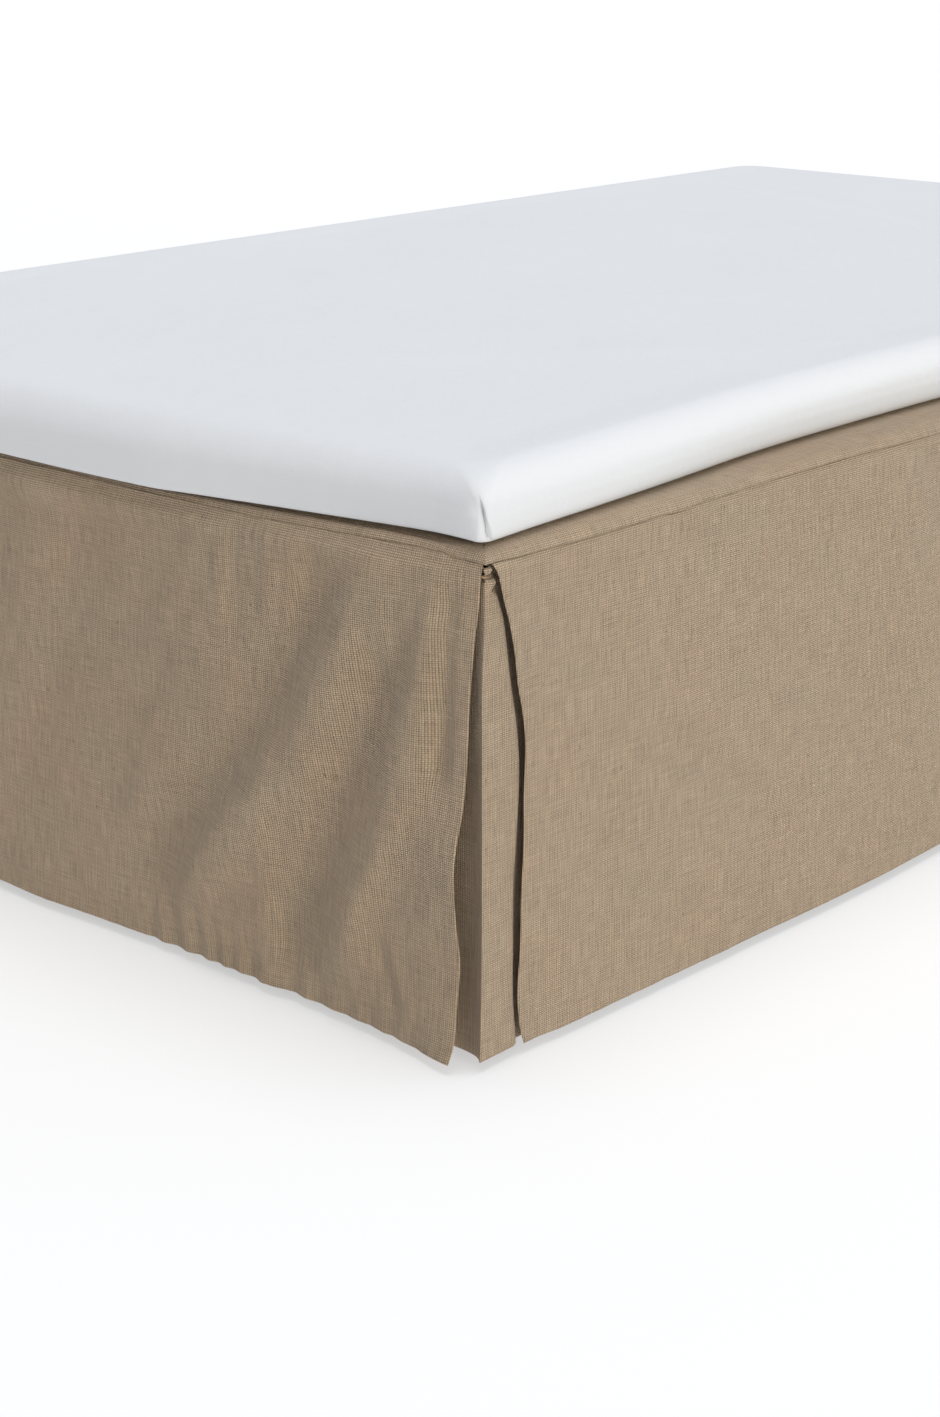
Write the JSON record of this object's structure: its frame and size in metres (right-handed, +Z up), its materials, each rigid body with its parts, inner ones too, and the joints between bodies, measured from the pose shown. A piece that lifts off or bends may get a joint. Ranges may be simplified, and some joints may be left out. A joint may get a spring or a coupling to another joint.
{
  "type": "bed skirt on a bed base with legs and a topper mattress",
  "caption": "Tailored bed skirt: deck under the mattress, bands over the edge, straight drops to the floor and gusset pieces behind the split foot corners, fitted on a plain bed.",
  "frame": {"origin": "on the floor, under the middle of the bed", "axes": "+X to the right-hand long side seen from the foot, +Y from the foot to the head end along the bed, +Z up"},
  "size_m": [1.2407, 2.03, 0.5203],
  "materials": {
    "skirt_canvas": "beige cotton canvas, coarse even weave with small slubs, matt",
    "deck_cotton": "plain light cotton, matt",
    "white_sheet": "smooth white cotton sheet, matt with a soft sheen",
    "base_cover": "woven grey-brown bed base cover, matt",
    "leg_wood": "oiled wood, satin"
  },
  "bodies": {
    "root": {"bed_base": "base_cover", "bed_leg_1": "leg_wood", "bed_leg_2": "leg_wood", "bed_leg_3": "leg_wood", "bed_leg_4": "leg_wood", "bed_leg_5": "leg_wood", "bed_leg_6": "leg_wood", "skirt_deck": "deck_cotton", "band_foot": "skirt_canvas", "band_right": "skirt_canvas", "band_left": "skirt_canvas", "drop_foot": "skirt_canvas", "drop_right": "skirt_canvas", "drop_left": "skirt_canvas", "gusset_right": "skirt_canvas", "gusset_left": "skirt_canvas", "topper": "white_sheet"}
  },
  "joints": []
}
